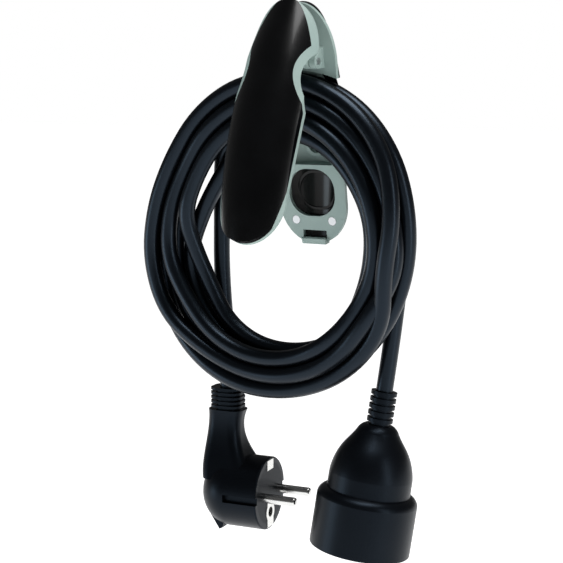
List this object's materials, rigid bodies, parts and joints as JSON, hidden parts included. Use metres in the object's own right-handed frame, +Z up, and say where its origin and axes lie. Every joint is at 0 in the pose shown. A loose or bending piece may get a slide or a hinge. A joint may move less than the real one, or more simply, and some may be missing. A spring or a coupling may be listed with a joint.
{
  "type": "extension cord",
  "caption": "Extension lead with an angled earthed plug and a round coupling, hanging coiled from a hinged two-leaf cable clip.",
  "frame": {"origin": "middle of the screw hole in the clip's back leaf, on its wall face", "axes": "+Z up, +Y towards the wall, +X to the right seen from the front"},
  "size_m": [0.154, 0.0937, 0.27],
  "materials": {
    "cover_gloss": "glossy",
    "liner_grey": "satin",
    "screw_steel": "plain",
    "pin_steel": "polished",
    "plug_black": "matte",
    "insert_black": "matte",
    "contact_brass": "plain",
    "earth_metal": "polished",
    "wire_brown": "satin",
    "wire_blue": "satin",
    "wire_green": "satin",
    "cord_black": "satin"
  },
  "bodies": {
    "hanging_lead": {"back_cover": "cover_gloss", "back_liner": "liner_grey", "back_liner_screws": "screw_steel", "hinge_pin": "screw_steel", "socket_body": "plug_black", "socket_insert": "insert_black", "socket_contact_line": "contact_brass", "socket_contact_neutral": "contact_brass", "socket_earth_bow": "earth_metal", "socket_strain_relief": "plug_black", "socket_crimps": "contact_brass", "socket_wire_line": "wire_brown", "socket_wire_neutral": "wire_blue", "socket_wire_earth": "wire_green", "plug_tail_cord": "cord_black", "socket_tail_cord": "cord_black", "cord_coil": "cord_black"},
    "hanging_plug": {"plug_grip": "plug_black", "plug_insert": "insert_black", "plug_pin_line": "pin_steel", "plug_pin_neutral": "pin_steel", "plug_earth_strap": "earth_metal", "plug_strain_relief": "plug_black", "plug_crimps": "contact_brass", "plug_wire_line": "wire_brown", "plug_wire_neutral": "wire_blue", "plug_wire_earth": "wire_green", "plug_cord_end": "cord_black"},
    "front_leaf": {"front_cover": "cover_gloss", "front_liner": "liner_grey", "front_liner_screws": "screw_steel"}
  },
  "joints": [
    {"name": "front_leaf_hinge", "type": "hinge", "parent": "hanging_lead", "child": "front_leaf", "pos_m": [0, -0.02601, 0.0385], "axis": [1, 0, 0], "range_deg": [-7, 40]},
    {"name": "plug_twist", "type": "hinge", "parent": "hanging_lead", "child": "hanging_plug", "pos_m": [-0.05197, -0.00417, -0.1275], "axis": [0, 0, 1], "range_deg": [-50, 15], "stiffness_Nm_per_rad": 0.02}
  ]
}
